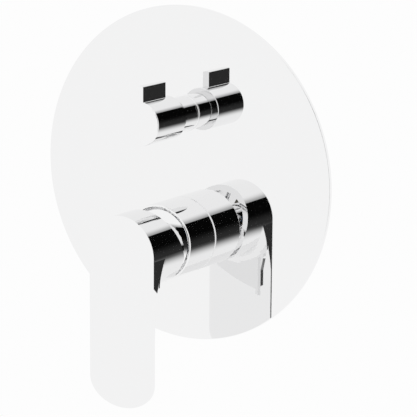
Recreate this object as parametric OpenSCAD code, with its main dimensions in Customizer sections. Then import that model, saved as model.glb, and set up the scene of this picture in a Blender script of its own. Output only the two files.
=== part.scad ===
// Concealed shower mixer: round cover plate, single lever and two-way diverter knob,
// with the brass body, the ceramic mixing cartridge and the diverter headwork behind them.
// The finished wall is the plane Y = 0, the user stands at -Y and +Z is up.

/* [Cover plate] */
// Diameter of the round cover plate
plate_d = 200; // [190:1:230]
// Thickness of the cover plate
plate_t = 2; // [1.6:0.1:3]
// Rounding of the plate's front edge
plate_edge_r = 0.4; // [0.2:0.1:0.8]
// Distance between the lever axis (below) and the diverter axis (above)
axis_spacing = 73; // [70:1:82]
// Width of the foam seal ring behind the plate
seal_w = 6; // [4:1:9]
// Thickness of the foam seal ring, pressed flush into its groove
seal_t = 1; // [0.6:0.1:1.2]

/* [Lever sleeve] */
// Outside diameter of the chrome sleeve round the cartridge
sleeve_d = 45.4; // [45:0.2:50]
// Length of the sleeve in front of the plate
sleeve_len = 26.9; // [24:0.5:30]
// Wall of the sleeve
sleeve_wall = 1.4; // [1.2:0.1:1.8]
// Rounding of the sleeve's front edge
sleeve_edge_r = 1; // [0.4:0.1:1.2]

/* [Lever handle] */
// Width of the lever's paddle
paddle_w = 45.3; // [42:0.5:52]
// Length of the paddle below the lever axis
paddle_len = 91.1; // [80:1:110]
// Length of the paddle's curved lower end
paddle_end = 16.1; // [12:0.5:21]
// Thickness of the paddle at its middle
paddle_t = 6; // [5:0.5:8]
// Thickness of the paddle at its rim
paddle_rim_t = 1.2; // [0.8:0.1:2]
// Width of the flat back of the paddle
paddle_flat_w = 29; // [22:1:34]
// Distance from the plate to the front face of the lever
lever_reach = 62.9; // [60:0.5:70]
// Diameter of the hub behind the paddle
hub_d = 45.3; // [42:0.5:52]
// Wall of the hollow hub
hub_wall = 3.4; // [2.5:0.1:4.5]
// Distance from the plate to the hub's rear rim at its lowest
hub_gap = 31.9; // [31:0.5:36]
// Slope of the upper part of the hub's rear rim
hub_cut_deg = 21.8; // [18:0.2:26]
// Height where the slope starts, below the lever axis
hub_cut_below = 4.5; // [2:0.5:8]
// Fillet from the hub's underside to the back of the paddle
hub_fillet = 6; // [3:0.5:8]
// Thickness of metal left in front of the hub's hollow
hub_front_t = 12; // [8:0.5:14]
// Size of the lever's grub screw
lever_screw_d = 5; // [4:0.5:6]

/* [Diverter knob] */
// Diameter of the knob
knob_d = 25.5; // [22:0.5:29]
// Distance from the plate to the front face of the knob
knob_reach = 44.6; // [42:0.5:50]
// Length of the knob's full diameter
knob_len = 27.7; // [25:0.5:30]
// Rounding of the knob's front edge
knob_edge_r = 0.5; // [0.3:0.1:1]
// Length of the knob's narrow rear end
knob_step_len = 3.8; // [3:0.1:5]
// Thickness of the tab on the knob
tab_t = 4.2; // [3:0.2:6]
// Height of the tab above the knob
tab_h = 9; // [6:0.5:12]
// Length of the tab along the knob
tab_len = 22.2; // [18:0.5:24]
// Rounding of the tab's edges
tab_edge_r = 0.8; // [0.4:0.1:1.2]
// Size of the knob's grub screw
knob_screw_d = 4; // [3:0.5:5]

/* [Diverter collar] */
// Outside diameter of the chrome collar between plate and knob
collar_d = 20.4; // [20:0.2:22]
// Diameter of the collar's foot on the plate
collar_foot_d = 21.6; // [21:0.2:24]
// Height of the collar's foot
collar_foot_t = 0.8; // [0.5:0.1:1.5]
// Running gap between the collar and the knob
knob_gap = 0.3; // [0.2:0.1:0.6]

/* [Mixing cartridge] */
// Outside diameter of the ceramic cartridge
cartridge_d = 35; // [34.6:0.1:35.4]
// Distance from the wall to the lever's tilting axis
pivot_out = 25; // [24:0.5:26]
// Angle of the lever when it is fully lifted
lift_deg = 24; // [18:1:25]
// Length of the spindle's tail, from the tilting axis to its ball
tail_len = 13.8; // [13.2:0.1:14.2]
// Width across the flats of the spindle's square end
spindle_sq = 8; // [7:0.5:9]

/* [Concealed body] */
// Outside diameter of the body's neck
neck_d = 41; // [40:0.2:42]
// Radius of the tapped hole of each port, for a half-inch pipe thread
port_r = 9.3; // [9.3:0.1:9.5]
// Depth of each tapped port
port_depth = 15; // [12:1:20]
// Outside diameter of each port's boss
port_boss_d = 28; // [26:1:32]
// Distance from the lever axis to the face of an inlet
inlet_reach = 55; // [50:1:70]
// Distance from the nearest axis to the face of an outlet
outlet_reach = 50; // [44:1:56]
// Depth of the pipe axes behind the wall
pipe_depth = 25; // [23:1:32]
// Distance between the two holes that fix the body
lug_spacing = 72; // [66:1:90]
// Diameter of those holes
lug_hole_d = 5.5; // [4.5:0.5:6.5]

/* [Clearances] */
// Radial clearance of parts that turn in each other
run_gap = 0.1; // [0.05:0.01:0.1]
// Radial clearance of parts that are pushed together
push_gap = 0.2; // [0.1:0.05:0.3]

/* [Hidden] */
$fn = 96;
eps = 0.01;

CHROME = [0.86, 0.87, 0.88];
BRASS = [0.80, 0.66, 0.36];
PLASTIC = [0.90, 0.90, 0.86];
RUBBER = [0.12, 0.12, 0.12];
CERAMIC = [0.95, 0.94, 0.90];
STEEL = [0.62, 0.63, 0.65];

lever_z = -axis_spacing / 2;
knob_z = axis_spacing / 2;

// Plate and sleeve
plate_r = plate_d / 2;
sleeve_r = sleeve_d / 2;
sleeve_bore_r = sleeve_r - sleeve_wall;
sleeve_out = plate_t + sleeve_len;
neck_r = neck_d / 2;
plate_hole_r = neck_r + push_gap;
ring_cord = 2 * (sleeve_bore_r - neck_r) + 0.6;
ring_out = plate_t + 5;
groove_r = sleeve_bore_r - ring_cord;
seal_r = plate_r - 4;

// Cartridge, measured outwards from the wall
chamber_r = cartridge_d / 2 + push_gap;
base_t = 3.5;
disc_t = 3;
moving_out = base_t + disc_t;
driver_out = moving_out + disc_t;
housing_r = cartridge_d / 2 - 0.1;
shoulder_out = 14.5;
top_r = housing_r - 2.8;
top_out = pivot_out + 5;
carrier_r = top_r - 2.8;
carrier_out = driver_out + 3.3;
carrier_flange_r = carrier_r + 1.3;
carrier_flange_t = 2.2;
thread_r = chamber_r + 0.5;
neck_out = shoulder_out + 5.5;
spigot_r = neck_r - 0.6;
spigot_len = 6;
nut_flat_w = 33;
nut_head_t = 4;
nut_bore_r = top_r + push_gap;
pin_r = 1.5;
disc_r = 9.8;
fixed_disc_r = housing_r - 2.1;
disc_travel = tail_len * sin(lift_deg);
ball_r = 2.8;
driver_w = 13;
driver_t = 3;
socket_r = ball_r + push_gap;

// Dome ring on the neck's spigot
dome_r = sleeve_bore_r - push_gap;
dome_wall = 1.2;
dome_foot_out = neck_out - spigot_len + 0.3;
dome_edge_out = sleeve_out - 1.9;
dome_hole_r = 12;
dome_rise = 5.4;
dome_sphere_r = (pow(dome_r, 2) - pow(dome_hole_r, 2) - pow(dome_rise, 2)) / (2 * dome_rise);
dome_ball_r = sqrt(pow(dome_r, 2) + pow(dome_sphere_r, 2));

// Lever
lever_out = plate_t + lever_reach;
paddle_r = paddle_w / 2;
hub_r = hub_d / 2;
hub_bore_r = hub_r - hub_wall;
hub_rim_out = plate_t + hub_gap;
hollow_out = lever_out - hub_front_t;
boss_r = spindle_sq * 0.7071 + 2.6;
boss_out = pivot_out + 15;
spindle_end_out = hollow_out + 4;
screw_out = boss_out + 5.5;
screw_seat = hub_r - 4;
plug_t = 3.5;
socket_depth = 2.5;

// Diverter, measured outwards from the wall
knob_out = plate_t + knob_reach;
knob_r = knob_d / 2;
knob_back_out = knob_out - knob_len;
knob_foot_out = knob_back_out - knob_step_len;
collar_r = collar_d / 2;
collar_out = knob_foot_out - knob_gap;
work_neck_r = collar_r - 1.6;
work_thread_r = port_r + 1.1;
work_seat_out = -8.5;
work_hex_w = 22;
work_hex_t = 4.5;
work_back_out = -24;
work_cage_out = -12;
work_cage_r = 9.2;
window_r = 1.6;
gasket_t = 1.5;
work_top_out = collar_out - 1.5;
plate_pilot_r = work_neck_r + push_gap;
stem_r = 5;
spline_r = 4;
spline_out = work_top_out - 1;
stem_end_out = knob_out - 12;
valve_r = 8;
valve_t = 2.5;
valve_seal_t = 1.6;
opening_r = 1.8;
opening_at = 5.5;
clip_t = 1;

// Concealed body
main_boss_r = 24;
main_boss_front = 8;
main_boss_len = pipe_depth + port_boss_d / 2 - main_boss_front + 1;
diverter_boss_r = work_hex_w / 2 + 5;
passage_r = 6;
hole_r = 4;
mixed_depth = 18;
upper_depth = 31;
upper_way_r = 4.5;
channel_depth = pipe_depth + port_boss_d / 2 + 4;
channel_r = 5;
channel_boss_r = 8.5;
channel_bottom_z = lever_z - outlet_reach + port_depth + 6;
channel_top_z = knob_z + diverter_boss_r + 4;
plug_len = 6;
lug_t = 6;
lug_w = 14;
lug_depth = pipe_depth + 3;

// Turns a shape drawn with +Z outwards so that it points away from the wall, on an axis at height z
module outward(z) {
    translate([0, 0, z])
        rotate([90, 0, 0])
            children();
}

// Straight round bar from one distance outwards to another
module bar(r, from_out, to_out) {
    translate([0, 0, from_out])
        cylinder(r = r, h = to_out - from_out);
}

// Round tube from one distance outwards to another
module tube(r, bore_r, from_out, to_out) {
    difference() {
        bar(r, from_out, to_out);
        bar(bore_r, from_out - 1, to_out + 1);
    }
}

// Hexagonal bar given by its width across flats
module hex_bar(flat_w, from_out, to_out) {
    translate([0, 0, from_out])
        cylinder(r = flat_w / sqrt(3), h = to_out - from_out, $fn = 6);
}

// Solid rubber ring of round section
module o_ring(mid_r, cord_r, at_out) {
    translate([0, 0, at_out])
        rotate_extrude()
            translate([mid_r, 0])
                circle(r = cord_r, $fn = 32);
}

// Points on an arc about a centre, for profiles
function arc(c, r, a0, a1, n = 8) =
    [for (i = [0:n]) c + r * [cos(a0 + (a1 - a0) * i / n), sin(a0 + (a1 - a0) * i / n)]];

// Cover plate: one turned disc with a rounded front edge, two holes and a groove for its seal
module escutcheon_plate() {
    color(CHROME)
        difference() {
            outward(0)
                rotate_extrude($fn = 240)
                    polygon(concat(
                        [[0, 0], [plate_r, 0]],
                        arc([plate_r - plate_edge_r, plate_t - plate_edge_r], plate_edge_r, 0, 90),
                        [[0, plate_t]]));
            outward(lever_z)
                bar(plate_hole_r, -1, plate_t + 1);
            outward(knob_z)
                bar(plate_pilot_r, -1, plate_t + 1);
            outward(0)
                tube(seal_r, seal_r - seal_w, -1, seal_t);
        }
}

module plate_seal() {
    color(RUBBER)
        outward(0)
            tube(seal_r - eps, seal_r - seal_w + eps, 0, seal_t - eps);
}

// Chrome sleeve: a drawn tube with a rounded front edge and a small chamfer where it meets the plate
module lever_sleeve() {
    foot_r = sleeve_r - 0.5;
    color(CHROME)
        outward(lever_z)
            rotate_extrude($fn = 180)
                polygon(concat(
                    [[sleeve_bore_r, plate_t], [foot_r, plate_t], [sleeve_r, plate_t + 0.7]],
                    arc([sleeve_r - sleeve_edge_r, sleeve_out - sleeve_edge_r], sleeve_edge_r, 0, 90),
                    [[sleeve_bore_r, sleeve_out]]));
}

module sleeve_o_ring() {
    color(RUBBER)
        outward(lever_z)
            o_ring(sleeve_bore_r - ring_cord / 2, ring_cord / 2 - eps, ring_out);
}

// Domed ring that screws on the neck's spigot and covers the cartridge nut
module dome_ring() {
    centre_out = dome_edge_out - dome_sphere_r;
    inner_ball_r = dome_ball_r - dome_wall;
    outer_from = asin(dome_sphere_r / dome_ball_r);
    outer_to = acos(dome_hole_r / dome_ball_r);
    skirt_bore_r = spigot_r + run_gap;
    inner_from = acos(skirt_bore_r / inner_ball_r);
    inner_to = acos(dome_hole_r / inner_ball_r);
    color(CHROME)
        outward(lever_z)
            rotate_extrude($fn = 180)
                polygon(concat(
                    [[skirt_bore_r, dome_foot_out], [dome_r, dome_foot_out]],
                    arc([0, centre_out], dome_ball_r, outer_from, outer_to, 16),
                    arc([0, centre_out], inner_ball_r, inner_to, inner_from, 16)));
}

// Outline of the paddle below the hub as [x, z] pairs, from the right side round the end to the left
side_n = 10;
end_n = 22;
top_z = -1.5;
end_z = -(paddle_len - paddle_end);
function side_z(i) = top_z + (end_z - top_z) * i / side_n;
outline = concat(
    [for (i = [0:side_n - 1]) [paddle_r, side_z(i)]],
    [for (i = [0:end_n]) let (a = 180 * i / end_n)
        [paddle_r * cos(a), end_z - paddle_end * sin(a)]],
    [for (i = [side_n - 1:-1:0]) [-paddle_r, side_z(i)]]);
outline_n = len(outline);

// The curved flank of the back: shares of its width, and how far it has dropped there
flank_w = (paddle_w - paddle_flat_w) / 2;
flank_n = 6;
flank_steep = 0.94;
flank_shares = [for (i = [0:flank_n]) pow(i / flank_n, 1.3)];
function smooth(t) = let (u = min(1, max(0, t))) u * u * (3 - 2 * u);
function flank_drop(share) =
    (paddle_t - paddle_rim_t) * (1 - sqrt(1 - pow(flank_steep * (1 - share), 2)))
        / (1 - sqrt(1 - pow(flank_steep, 2)));

// A point of the back: moved in from the outline by a share of the flank, which fades under the hub
function back_point(p, share) =
    let (inset = share * flank_w,
         down = max(0, end_z - p[1]) / paddle_end,
         x = p[0] * (1 - inset / paddle_r),
         z = p[1] + down * inset,
         fade = smooth((-p[1] - 8) / 24))
    [x, z, lever_out - paddle_t + fade * flank_drop(share)];

// Triangles that fill the outline, laid from side to side down to its tip
function cap(at) =
    let (tip = (outline_n - 1) / 2, last = at + outline_n - 1)
    concat(
        [for (i = [0:tip - 2]) each [[at + i, at + i + 1, last - i - 1], [at + i, last - i - 1, last - i]]],
        [[at + tip - 1, at + tip, at + tip + 1]]);

// Paddle: flat front, thin rim and a back that curves in from a flat middle, as one closed skin
module paddle() {
    front = [for (p = outline) [p[0], p[1], lever_out]];
    back = [for (share = flank_shares, p = outline) back_point(p, share)];
    rows = flank_n + 1;
    faces = concat(
        cap(0),
        [for (t = cap(rows * outline_n)) [t[0], t[2], t[1]]],
        [[0, for (r = [1:rows + 1]) r * outline_n - 1, for (r = [rows:-1:1]) r * outline_n]],
        [for (r = [0:rows - 1], i = [0:outline_n - 2])
            let (a = r * outline_n + i, b = a + outline_n)
            each [[a, b + 1, a + 1], [a, b, b + 1]]]);
    polyhedron(points = concat(front, back), faces = faces, convexity = 6);
}

// Fillet between the hub's underside and the back of the paddle, no wider than the paddle
module fillet_skirt() {
    back = lever_out - paddle_t;
    intersection() {
        rotate_extrude()
            polygon(concat(
                [[hub_bore_r + 1, back + 1], [hub_r + hub_fillet, back + 1]],
                arc([hub_r + hub_fillet, back - hub_fillet], hub_fillet, 90, 180, 8),
                [[hub_bore_r + 1, back - hub_fillet]]));
        translate([-paddle_r, -2 * hub_r, 0])
            cube([paddle_w, 2 * hub_r + top_z, lever_out]);
    }
}

// Rear cut of the hub: level below, sloping away above, so that the lever can be lifted
module hub_cut() {
    rise = 3 * hub_r;
    rotate([90, 0, 90])
        linear_extrude(height = 4 * hub_r, center = true)
            polygon([
                [-rise, hub_rim_out], [-hub_cut_below, hub_rim_out],
                [rise, hub_rim_out + (rise + hub_cut_below) * tan(hub_cut_deg)],
                [rise, 0], [-rise, 0]]);
}

module lever_handle() {
    color(CHROME)
        outward(lever_z)
            difference() {
                union() {
                    paddle();
                    fillet_skirt();
                    difference() {
                        bar(hub_r, hub_rim_out - 1, lever_out);
                        bar(hub_bore_r, 0, hollow_out);
                        hub_cut();
                    }
                    bar(boss_r, boss_out, hollow_out + 1);
                }
                translate([0, 0, (boss_out + spindle_end_out) / 2 - 1])
                    cube([spindle_sq + 2 * run_gap, spindle_sq + 2 * run_gap, spindle_end_out - boss_out + 2.4],
                         center = true);
                translate([0, 0, screw_out])
                    rotate([90, 0, 0])
                        cylinder(d = lever_screw_d + 2 * run_gap, h = hub_r + 10);
            }
}

module lever_screw() {
    tip = spindle_sq / 2 + run_gap;
    length = 8;
    color(STEEL)
        outward(lever_z)
            translate([0, 0, screw_out])
                rotate([90, 0, 0])
                    difference() {
                        translate([0, 0, tip])
                            cylinder(d = lever_screw_d, h = length);
                        translate([0, 0, tip + length - socket_depth])
                            cylinder(d = lever_screw_d * 0.55, h = socket_depth + 1, $fn = 6);
                    }
}

// Plastic plug that closes the screw's hole under the hub
module lever_screw_plug() {
    color(PLASTIC)
        outward(lever_z)
            translate([0, 0, screw_out])
                rotate([90, 0, 0])
                    translate([0, 0, screw_seat])
                        cylinder(d = lever_screw_d + run_gap, h = plug_t);
}

// Brass ring nut with a hexagonal head that holds the cartridge down on its shoulder
module cartridge_nut() {
    color(BRASS)
        outward(lever_z)
            difference() {
                union() {
                    bar(thread_r - run_gap, shoulder_out, neck_out);
                    hex_bar(nut_flat_w, neck_out, neck_out + nut_head_t);
                }
                bar(nut_bore_r, 0, top_out);
            }
}

module cartridge_housing() {
    color(PLASTIC)
        outward(lever_z)
            rotate_extrude()
                polygon([
                    [housing_r, base_t], [housing_r, shoulder_out], [top_r, shoulder_out],
                    [top_r, top_out - 1], [top_r - 1, top_out], [carrier_r - 1.5, top_out],
                    [carrier_r - 1.5, top_out - 1.5], [carrier_r + run_gap, top_out - 1.5],
                    [carrier_r + run_gap, carrier_out + carrier_flange_t + run_gap],
                    [carrier_flange_r + run_gap, carrier_out + carrier_flange_t + run_gap],
                    [carrier_flange_r + run_gap, carrier_out - 1],
                    [fixed_disc_r + push_gap, carrier_out - 1], [fixed_disc_r + push_gap, base_t]]);
}

// Places of the cartridge's three water ways: hot, cold and mixed
way_at = [[-8.5, -4], [8.5, -4], [0, 8]];

module water_ways(r, from_out, to_out) {
    for (p = way_at)
        translate([p[0], p[1], from_out])
            cylinder(r = r, h = to_out - from_out);
}

module cartridge_base() {
    color(PLASTIC)
        outward(lever_z)
            difference() {
                bar(housing_r, 0.4, base_t);
                water_ways(hole_r - 0.5, -1, base_t + 1);
                for (p = way_at)
                    translate([p[0], p[1], 0])
                        tube(hole_r + 0.9, hole_r, -1, 1.4);
            }
}

// Three rubber rings in the base's grooves, on the chamber's floor
module base_seals() {
    color(RUBBER)
        outward(lever_z)
            for (p = way_at)
                translate([p[0], p[1], 0])
                    tube(hole_r + 0.9 - eps, hole_r + eps, eps, 1.4 - eps);
}

module fixed_disc() {
    color(CERAMIC)
        outward(lever_z)
            difference() {
                bar(fixed_disc_r, base_t + eps, moving_out - eps);
                water_ways(hole_r - 0.7, 0, moving_out + 1);
            }
}

// Ceramic disc that slides over the fixed one, with a mixing hollow in its underside
module moving_disc() {
    color(CERAMIC)
        outward(lever_z)
            translate([0, disc_travel / 2, 0])
                difference() {
                    bar(disc_r, moving_out, driver_out - eps);
                    bar(disc_r - 3.2, moving_out - 1, moving_out + 1.6);
                }
}

// Plastic driver on the moving disc: the spindle's ball sits in its socket
module disc_driver() {
    color(PLASTIC)
        outward(lever_z)
            difference() {
                intersection() {
                    translate([0, disc_travel / 2, 0])
                        bar(disc_r - 0.3, driver_out, driver_out + driver_t);
                    translate([0, disc_travel / 2, driver_out + driver_t / 2])
                        cube([driver_w, 3 * disc_r, driver_t + 2], center = true);
                }
                bar(socket_r, driver_out + 0.2, driver_out + driver_t + 1);
            }
}

// Plastic carrier that turns in the housing: it holds the spindle's pin and guides the driver
module disc_carrier() {
    slot_w = spindle_sq + 2 * push_gap;
    rib_x = driver_w / 2 + push_gap;
    rib_w = 2.4;
    rib_len = 14;
    color(PLASTIC)
        outward(lever_z)
            difference() {
                union() {
                    bar(carrier_flange_r, carrier_out, carrier_out + carrier_flange_t);
                    bar(carrier_r, carrier_out, top_out - 1.5 - run_gap);
                    for (side = [-1, 1])
                        translate([side * (rib_x + rib_w / 2), 0, (driver_out + carrier_out) / 2 + push_gap])
                            cube([rib_w, rib_len, carrier_out - driver_out], center = true);
                }
                translate([0, 0, top_out])
                    cube([slot_w, 2 * carrier_r - 4, 4 * top_out], center = true);
                translate([0, 0, pivot_out])
                    rotate([0, 90, 0])
                        cylinder(r = pin_r, h = 3 * carrier_r, center = true);
            }
}

// Brass spindle: square end in the lever, round waist on the pin and a ball at its tail
module spindle() {
    waist_r = spindle_sq / 2;
    color(BRASS)
        outward(lever_z)
            difference() {
                union() {
                    translate([0, 0, (boss_out + spindle_end_out) / 2])
                        cube([spindle_sq, spindle_sq, spindle_end_out - boss_out], center = true);
                    bar(waist_r, pivot_out - 4, boss_out + 1);
                    bar(ball_r * 0.62, pivot_out - tail_len, pivot_out);
                    translate([0, 0, pivot_out - tail_len])
                        intersection() {
                            sphere(r = ball_r, $fn = 64);
                            bar(ball_r, -1.1, ball_r);
                        }
                }
                translate([0, 0, pivot_out])
                    rotate([0, 90, 0])
                        cylinder(r = pin_r + 0.05, h = 3 * waist_r, center = true);
            }
}

module spindle_pin() {
    color(STEEL)
        outward(lever_z)
            translate([0, 0, pivot_out])
                rotate([0, 90, 0])
                    cylinder(r = pin_r, h = 2 * carrier_r - 1, center = true);
}

// Boss along X or Z of the body, from the middle of the block outwards
module port_boss(direction, reach, chamfer = 1.5) {
    translate([0, 0, -pipe_depth])
        rotate(direction)
            rotate_extrude()
                polygon([
                    [0, 0], [port_boss_d / 2, 0], [port_boss_d / 2, reach - chamfer],
                    [port_boss_d / 2 - chamfer, reach], [0, reach]]);
}

// Round hole along X or Z of the body, at a depth behind the wall
module way(direction, r, depth, from, to) {
    translate([0, 0, -depth])
        rotate(direction)
            translate([0, 0, from])
                cylinder(r = r, h = to - from);
}

// Tapped hole of a port
module port_hole(direction, reach) {
    way(direction, port_r, pipe_depth, reach - port_depth, reach + 1);
}

// Outward frame turned so that a boss points along X, up or down
TO_RIGHT = [0, 90, 0];
TO_LEFT = [0, -90, 0];
UPWARDS = [-90, 0, 0];
DOWNWARDS = [90, 0, 0];

// Outside of the brass casting
module body_casting() {
    outward(lever_z) {
        bar(main_boss_r, -main_boss_front - main_boss_len, -main_boss_front);
        bar(neck_r, -main_boss_front - 1, neck_out - spigot_len);
        bar(spigot_r, 0, neck_out);
        port_boss(TO_RIGHT, inlet_reach);
        port_boss(TO_LEFT, inlet_reach);
        port_boss(DOWNWARDS, outlet_reach);
        port_boss(UPWARDS, axis_spacing);
    }
    outward(knob_z) {
        bar(diverter_boss_r, -channel_depth, work_seat_out);
        port_boss(UPWARDS, outlet_reach);
    }
    translate([0, channel_depth, channel_bottom_z - channel_boss_r])
        cylinder(r = channel_boss_r, h = channel_top_z - channel_bottom_z + channel_boss_r);
    translate([0, lug_depth, 0])
        rotate([90, 0, 0])
            translate([0, 0, -lug_t / 2])
                difference() {
                    union() {
                        translate([-lug_spacing / 2, -lug_w / 2, 0])
                            cube([lug_spacing, lug_w, lug_t]);
                        for (side = [-1, 1])
                            translate([side * lug_spacing / 2, 0, 0])
                                cylinder(d = lug_w, h = lug_t);
                    }
                    for (side = [-1, 1])
                        translate([side * lug_spacing / 2, 0, -1])
                            cylinder(d = lug_hole_d, h = lug_t + 2);
                }
}

// Brass body: cartridge chamber and diverter chamber, four tapped ports and the drilled ways between
module mixer_body() {
    color(BRASS)
        difference() {
            body_casting();
            outward(lever_z) {
                bar(chamber_r, 0, neck_out + 1);
                bar(thread_r, shoulder_out - 2, neck_out + 1);
                for (p = way_at)
                    translate([p[0], p[1], 0])
                        bar(hole_r, p[1] > 0 ? -mixed_depth : -pipe_depth, 1);
                for (direction = [TO_RIGHT, TO_LEFT]) {
                    port_hole(direction, inlet_reach);
                    way(direction, passage_r, pipe_depth, passage_r, inlet_reach - port_depth + 1);
                }
                port_hole(DOWNWARDS, outlet_reach);
                way(DOWNWARDS, passage_r, pipe_depth, outlet_reach - port_depth - 8, outlet_reach - port_depth + 1);
                translate([0, way_at[2][1], 0])
                    way(UPWARDS, hole_r, mixed_depth, 0, axis_spacing - way_at[2][1] - valve_r - 1);
                rotate_extrude()
                    translate([neck_r, ring_out])
                        translate([-(neck_r - groove_r), -ring_cord / 2])
                            square([neck_r, ring_cord]);
            }
            outward(knob_z) {
                bar(work_thread_r + 0.05, work_back_out, work_seat_out + 1);
                port_hole(UPWARDS, outlet_reach);
                way(UPWARDS, upper_way_r, upper_depth, 2, outlet_reach - port_depth + 1);
                translate([0, opening_at, 0])
                    bar(opening_r + 0.4, -upper_depth, work_back_out + 1);
                translate([0, -opening_at, 0])
                    bar(opening_r + 0.4, -channel_depth, work_back_out + 1);
            }
            translate([0, channel_depth, channel_bottom_z])
                cylinder(r = channel_r, h = channel_top_z - channel_bottom_z + 1);
            translate([0, pipe_depth, channel_bottom_z])
                rotate([-90, 0, 0])
                    cylinder(r = channel_r, h = channel_depth - pipe_depth);
        }
}

// Brass plug with a hexagonal socket in the top of the drilled channel
module channel_plug() {
    color(BRASS)
        translate([0, channel_depth, channel_top_z - plug_len])
            difference() {
                cylinder(r = channel_r - eps, h = plug_len);
                translate([0, 0, plug_len - 3])
                    cylinder(r = channel_r * 0.55, h = 4, $fn = 6);
            }
}

// Brass headwork of the diverter: cage with four windows, thread, hexagon and a neck through the plate
module diverter_headwork() {
    color(BRASS)
        outward(knob_z)
            difference() {
                union() {
                    bar(work_cage_r, work_back_out, work_cage_out + 1);
                    bar(work_thread_r, work_cage_out, work_seat_out + gasket_t);
                    hex_bar(work_hex_w, work_seat_out + gasket_t, work_seat_out + gasket_t + work_hex_t);
                    bar(work_neck_r, work_seat_out + gasket_t, work_top_out);
                }
                bar(stem_r + run_gap, work_back_out, work_top_out + 1);
                bar(valve_r + run_gap, work_back_out - 1, work_cage_out);
                for (turn = [0, 90])
                    translate([0, 0, work_cage_out - window_r - 0.4])
                        rotate([90, 0, turn])
                            cylinder(r = window_r, h = 4 * valve_r, center = true);
            }
}

module headwork_gasket() {
    color(RUBBER)
        outward(knob_z)
            tube(work_thread_r + 2.2, work_thread_r + eps, work_seat_out + eps, work_seat_out + gasket_t - eps);
}

// Two openings through a disc of the diverter, above and below its middle
module valve_openings(from_out, to_out) {
    for (side = [-1, 1])
        translate([0, side * opening_at, from_out])
            cylinder(r = opening_r, h = to_out - from_out);
}

// Notch that lets the water through to one of the two openings
module valve_notch(from_out, to_out) {
    translate([-valve_r, -opening_r - 0.4, from_out])
        cube([valve_r, 2 * opening_r + 0.8, to_out - from_out]);
}

module diverter_seat_seal() {
    color(RUBBER)
        outward(knob_z)
            difference() {
                bar(valve_r, work_back_out, work_back_out + valve_seal_t - eps);
                valve_openings(work_back_out - 1, work_back_out + valve_seal_t + 1);
            }
}

module diverter_fixed_disc() {
    color(CERAMIC)
        outward(knob_z)
            difference() {
                bar(valve_r, work_back_out + valve_seal_t, work_back_out + valve_seal_t + valve_t - eps);
                valve_openings(work_back_out, work_back_out + valve_seal_t + valve_t + 1);
            }
}

module diverter_moving_disc() {
    disc_out = work_back_out + valve_seal_t + valve_t;
    color(CERAMIC)
        outward(knob_z)
            difference() {
                bar(valve_r - 0.2, disc_out, disc_out + valve_t);
                valve_notch(disc_out - 1, disc_out + valve_t + 1);
            }
}

// Stem that turns the moving disc: foot, shaft with a clip groove, and the end inside the knob
module diverter_stem() {
    foot_out = work_back_out + valve_seal_t + 2 * valve_t;
    foot_t = 1.4;
    color(BRASS)
        outward(knob_z)
            difference() {
                union() {
                    difference() {
                        bar(valve_r - 0.2, foot_out, foot_out + foot_t);
                        valve_notch(foot_out - 1, foot_out + foot_t + 1);
                    }
                    bar(stem_r, foot_out + foot_t / 2, spline_out);
                    bar(spline_r, foot_out + foot_t, stem_end_out);
                }
                tube(stem_r + 1, spline_r - 0.6, work_top_out, work_top_out + clip_t);
            }
}

module stem_circlip() {
    color(STEEL)
        outward(knob_z)
            difference() {
                tube(stem_r + 0.2, spline_r - 0.6, work_top_out + eps, work_top_out + clip_t - eps);
                translate([0, -stem_r, work_top_out + clip_t / 2])
                    cube([3, 2 * stem_r, 2 * clip_t], center = true);
            }
}

// Chrome collar that screws on the headwork and clamps the plate with its foot
module diverter_collar() {
    color(CHROME)
        outward(knob_z)
            rotate_extrude($fn = 120)
                polygon([
                    [work_neck_r, plate_t], [collar_foot_d / 2 - 0.2, plate_t],
                    [collar_foot_d / 2, plate_t + 0.2],
                    [collar_foot_d / 2, plate_t + collar_foot_t - 0.2],
                    [collar_foot_d / 2 - 0.2, plate_t + collar_foot_t],
                    [collar_r, plate_t + collar_foot_t], [collar_r, collar_out],
                    [stem_r + 1.2, collar_out], [stem_r + 1.2, work_top_out],
                    [work_neck_r, work_top_out]]);
}

module collar_o_ring() {
    cord_r = push_gap / 2 + 0.5;
    color(RUBBER)
        outward(knob_z)
            tube(plate_pilot_r - eps, work_neck_r + eps, plate_t / 2 - cord_r, plate_t / 2 + cord_r);
}

// Side view of the tab across the knob: rounded at the top, with a small fillet at its root
module tab_section() {
    half = tab_t / 2;
    top = knob_r + tab_h;
    root = sqrt(pow(knob_r, 2) - pow(half + tab_edge_r, 2)) - 0.15;
    polygon(concat(
        [[-half - tab_edge_r, 0], [half + tab_edge_r, 0], [half + tab_edge_r, root]],
        arc([half + tab_edge_r, root + tab_edge_r], tab_edge_r, 270, 180, 6),
        arc([half - tab_edge_r, top - tab_edge_r], tab_edge_r, 0, 90, 6),
        arc([tab_edge_r - half, top - tab_edge_r], tab_edge_r, 90, 180, 6),
        arc([-half - tab_edge_r, root + tab_edge_r], tab_edge_r, 360, 270, 6)));
}

// Diverter knob: a turned knob with a narrow rear end and a tab on top, one casting
module diverter_knob() {
    color(CHROME)
        outward(knob_z)
            difference() {
                union() {
                    rotate_extrude($fn = 144)
                        polygon(concat(
                            [[0, knob_foot_out], [collar_r, knob_foot_out], [collar_r, knob_back_out],
                             [knob_r - 0.3, knob_back_out], [knob_r, knob_back_out + 0.3]],
                            arc([knob_r - knob_edge_r, knob_out - knob_edge_r], knob_edge_r, 0, 90),
                            [[0, knob_out]]));
                    translate([0, 0, knob_out - tab_len])
                        linear_extrude(height = tab_len)
                            tab_section();
                }
                bar(spline_r + run_gap / 2, knob_foot_out - 1, stem_end_out + 1);
                translate([0, 0, (knob_back_out + stem_end_out) / 2])
                    rotate([90, 0, 0])
                        cylinder(d = knob_screw_d + 2 * run_gap, h = knob_r + 10);
            }
}

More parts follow.
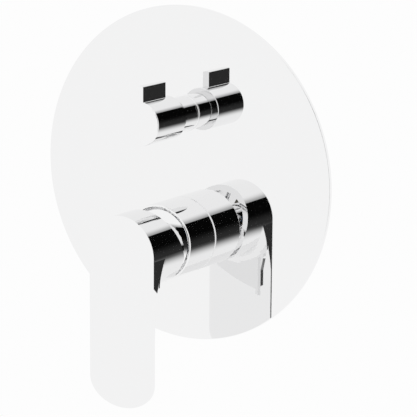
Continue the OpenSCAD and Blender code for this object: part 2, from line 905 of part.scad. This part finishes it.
module knob_screw() {
    length = knob_r - spline_r - 2.5;
    color(STEEL)
        outward(knob_z)
            translate([0, 0, (knob_back_out + stem_end_out) / 2])
                rotate([90, 0, 0])
                    difference() {
                        translate([0, 0, spline_r])
                            cylinder(d = knob_screw_d, h = length);
                        translate([0, 0, spline_r + length - socket_depth])
                            cylinder(d = knob_screw_d * 0.55, h = socket_depth + 1, $fn = 6);
                    }
}

escutcheon_plate();
plate_seal();
lever_sleeve();
sleeve_o_ring();
dome_ring();
lever_handle();
lever_screw();
lever_screw_plug();
cartridge_nut();
cartridge_housing();
cartridge_base();
base_seals();
fixed_disc();
moving_disc();
disc_driver();
disc_carrier();
spindle();
spindle_pin();
mixer_body();
channel_plug();
diverter_headwork();
headwork_gasket();
diverter_seat_seal();
diverter_fixed_disc();
diverter_moving_disc();
diverter_stem();
stem_circlip();
diverter_collar();
collar_o_ring();
diverter_knob();
knob_screw();
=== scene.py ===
# Concealed shower mixer, dressed for its portrait: chrome trim in a white light tent.
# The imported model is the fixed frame; everything is in metres, the wall is the plane y = 0.
import bpy
import math
from mathutils import Matrix, Vector

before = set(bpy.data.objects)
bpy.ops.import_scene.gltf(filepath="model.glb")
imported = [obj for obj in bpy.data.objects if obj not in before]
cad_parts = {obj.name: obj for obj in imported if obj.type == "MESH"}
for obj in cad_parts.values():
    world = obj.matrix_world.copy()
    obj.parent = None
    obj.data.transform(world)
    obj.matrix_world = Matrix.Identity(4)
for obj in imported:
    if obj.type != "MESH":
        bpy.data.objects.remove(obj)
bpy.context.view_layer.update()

# Camera
# A long lens right of the mixer and a little above it, as in the photograph.
# Its place and turn were fitted to the rims of the plate, sleeve, hub and knob.
camera_place = (0.7123, -1.0399, 0.2590)
camera_azimuth = math.radians(33.80)
camera_elevation = math.radians(12.53)
camera_roll = math.radians(0.42)
film_width = 36
focal_length = 187.92
bounce_limit = 24
mirror_bounce_limit = 20

back = Vector((math.sin(camera_azimuth) * math.cos(camera_elevation),
               -math.cos(camera_azimuth) * math.cos(camera_elevation),
               math.sin(camera_elevation)))
level_right = Vector((math.cos(camera_azimuth), math.sin(camera_azimuth), 0))
level_up = back.cross(level_right)
right = level_right * math.cos(camera_roll) + level_up * math.sin(camera_roll)
up = level_up * math.cos(camera_roll) - level_right * math.sin(camera_roll)
lens = bpy.data.cameras.new("portrait_lens")
lens.sensor_width = film_width
lens.lens = focal_length
camera = bpy.data.objects.new("portrait_camera", lens)
bpy.context.scene.collection.objects.link(camera)
camera_turn = Matrix((right, up, back)).transposed().to_4x4()
camera.matrix_world = Matrix.Translation(camera_place) @ camera_turn
bpy.context.scene.camera = camera
bpy.context.scene.view_settings.view_transform = "Standard"
bpy.context.scene.cycles.max_bounces = bounce_limit
bpy.context.scene.cycles.glossy_bounces = mirror_bounce_limit


class Wire:
    """One socket of a node tree, so that shader maths reads as plain expressions."""

    def __init__(self, tree, socket=None):
        self.tree, self.socket = tree, socket

    def add(self, kind, settings=None, inputs=None):
        """Adds any other node: its type, its settings, and the values or wires of its sockets."""
        made = self.tree.nodes.new(kind)
        for key, value in (settings or {}).items():
            setattr(made, key, value)
        for key, value in (inputs or {}).items():
            if isinstance(value, Wire):
                self.tree.links.new(value.socket, made.inputs[key])
            else:
                made.inputs[key].default_value = value
        return Wire(self.tree, made.outputs[0] if made.outputs else None)

    def other(self, name):
        """Another output of the same node."""
        return Wire(self.tree, self.socket.node.outputs[name])

    def maths(self, operation, *values):
        """One Math node on these values or wires."""
        return self.add("ShaderNodeMath", {"operation": operation}, dict(enumerate(values)))

    def __add__(self, other):
        return self.maths("ADD", self, other)

    def __sub__(self, other):
        return self.maths("SUBTRACT", self, other)

    def __rsub__(self, other):
        return self.maths("SUBTRACT", other, self)

    def __mul__(self, other):
        return self.maths("MULTIPLY", self, other)

    __radd__, __rmul__ = __add__, __mul__

    def ramp(self, low, high, start=0, end=1):
        """A smooth step of this value, from low to high."""
        return self.add("ShaderNodeMapRange", {"interpolation_type": "SMOOTHSTEP"},
                        {0: self, 1: low, 2: high, 3: start, 4: end})


# Light tent
# White cloth all round, with the dark opening that the camera looks through.
# The chrome shows the tent, so its edges are drawn by direction, in degrees:
# each pair is where a soft edge starts and where it ends.
tent_white = 0.982
room_fill = 0.72
white = (1, 1, 1, 1)
opening_left = (10, 17)
opening_right = (46, 42)
opening_top = (27.2, 26.8)
opening_foot = (-32, -14)
haze_depth = 0.58
haze_top = (34, 27)
haze_foot = (25, 26)
haze_left = (-5, 5)
haze_right = (50, 40)
inside_edge = (8, -12)
inside_shades = (0.002, 0.028)
world = bpy.data.worlds.new("light_tent")
world.use_nodes = True
world.node_tree.nodes.clear()
pen = Wire(world.node_tree)
toward = pen.add("ShaderNodeTexCoord")
tent_x = toward.add("ShaderNodeSeparateXYZ", None, {0: toward})
tent_y, tent_z = tent_x.other("Y"), tent_x.other("Z")
turn = pen.maths("ARCTAN2", tent_x, 0 - tent_y) * math.degrees(1)
height = pen.maths("ARCSINE", tent_z) * math.degrees(1)
opening = (turn.ramp(*opening_left) * turn.ramp(*opening_right)
           * height.ramp(*opening_top) * height.ramp(*opening_foot))
haze = 1 - (haze_depth * height.ramp(*haze_top) * height.ramp(*haze_foot)
            * turn.ramp(*haze_left) * turn.ramp(*haze_right))
inside = height.ramp(*inside_edge, *inside_shades)
brightness = tent_white * haze * (1 - opening) + inside * opening
path = pen.add("ShaderNodeLightPath")
strength = room_fill + (brightness - room_fill) * path.other("Is Glossy Ray")
strength = strength + (tent_white - strength) * path
cloth = pen.add("ShaderNodeBackground", None, {"Color": white, "Strength": strength})
pen.add("ShaderNodeOutputWorld", None, {"Surface": cloth})
bpy.context.scene.world = world

# Chrome trim
# The pieces seen from the room are polished brass and zinc castings under bright chrome plating.
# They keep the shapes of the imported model.
chrome_tint = (0.905, 0.905, 0.907, 1)
chrome_roughness = 0.02
chromed_pieces = ("escutcheon_plate", "lever_sleeve", "dome_ring", "lever_handle",
                  "diverter_collar", "diverter_knob")
chrome = bpy.data.materials.new("mirror_chrome")
chrome.use_nodes = True
chrome.node_tree.nodes.clear()
pen = Wire(chrome.node_tree)
shader = pen.add("ShaderNodeBsdfPrincipled", None, {
    "Base Color": chrome_tint, "Metallic": 1, "Roughness": chrome_roughness})
pen.add("ShaderNodeOutputMaterial", None, {"Surface": shader})
for name in chromed_pieces:
    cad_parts[name].data.materials[0] = chrome
